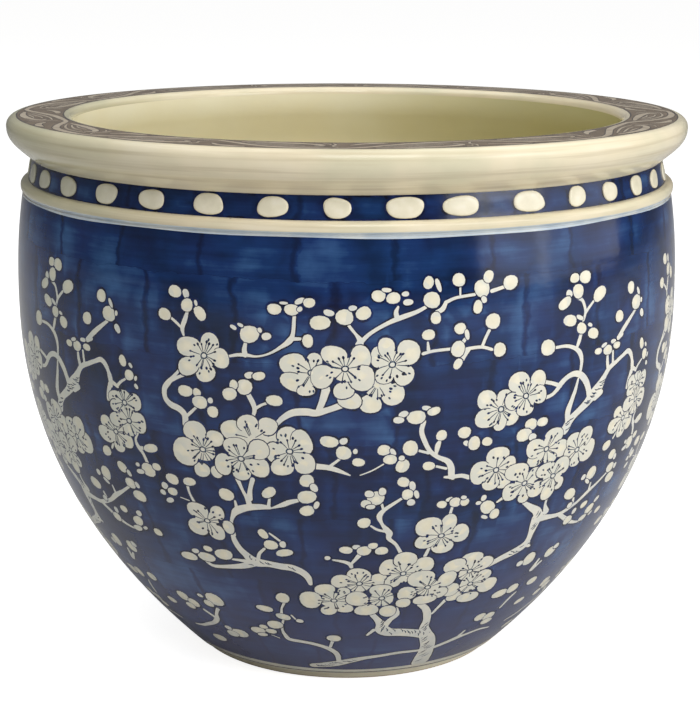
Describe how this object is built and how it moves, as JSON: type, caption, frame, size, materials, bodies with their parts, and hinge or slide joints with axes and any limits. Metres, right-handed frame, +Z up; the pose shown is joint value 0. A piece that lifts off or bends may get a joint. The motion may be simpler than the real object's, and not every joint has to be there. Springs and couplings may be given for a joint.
{
  "type": "fishbowl jardiniere",
  "caption": "Round glazed ceramic bowl planter with a broad flat rim, a bossed neck band, a bellied wall painted with plum blossom and a low foot ring.",
  "frame": {"origin": "centre of the foot ring's bottom face, where the bowl stands", "axes": "+Z up the bowl's axis; -Y faces the viewer of the reference view, +X is to that viewer's right"},
  "size_m": [0.406, 0.406, 0.327],
  "materials": {
    "cobalt_wash_glaze": "gloss",
    "band_glaze": "gloss",
    "boss_glaze": "gloss",
    "cream_glaze": "gloss",
    "rim_glaze": "satin",
    "bare_clay": "matte"
  },
  "bodies": {
    "root": {"foot_ring": "bare_clay", "base_floor": "cream_glaze", "lower_wall": "cobalt_wash_glaze", "upper_wall": "cobalt_wash_glaze", "neck_band": "band_glaze", "neck_moulding": "cream_glaze", "rim_flange": "rim_glaze", "boss_01": "boss_glaze", "boss_02": "boss_glaze", "boss_03": "boss_glaze", "boss_04": "boss_glaze", "boss_05": "boss_glaze", "boss_06": "boss_glaze", "boss_07": "boss_glaze", "boss_08": "boss_glaze", "boss_09": "boss_glaze", "boss_10": "boss_glaze", "boss_11": "boss_glaze", "boss_12": "boss_glaze", "boss_13": "boss_glaze", "boss_14": "boss_glaze", "boss_15": "boss_glaze", "boss_16": "boss_glaze", "boss_17": "boss_glaze", "boss_18": "boss_glaze", "boss_19": "boss_glaze", "boss_20": "boss_glaze", "boss_21": "boss_glaze", "boss_22": "boss_glaze", "boss_23": "boss_glaze", "boss_24": "boss_glaze", "boss_25": "boss_glaze", "boss_26": "boss_glaze", "boss_27": "boss_glaze", "boss_28": "boss_glaze", "boss_29": "boss_glaze", "boss_30": "boss_glaze", "boss_31": "boss_glaze", "boss_32": "boss_glaze", "boss_33": "boss_glaze", "boss_34": "boss_glaze", "boss_35": "boss_glaze", "boss_36": "boss_glaze"}
  },
  "joints": []
}
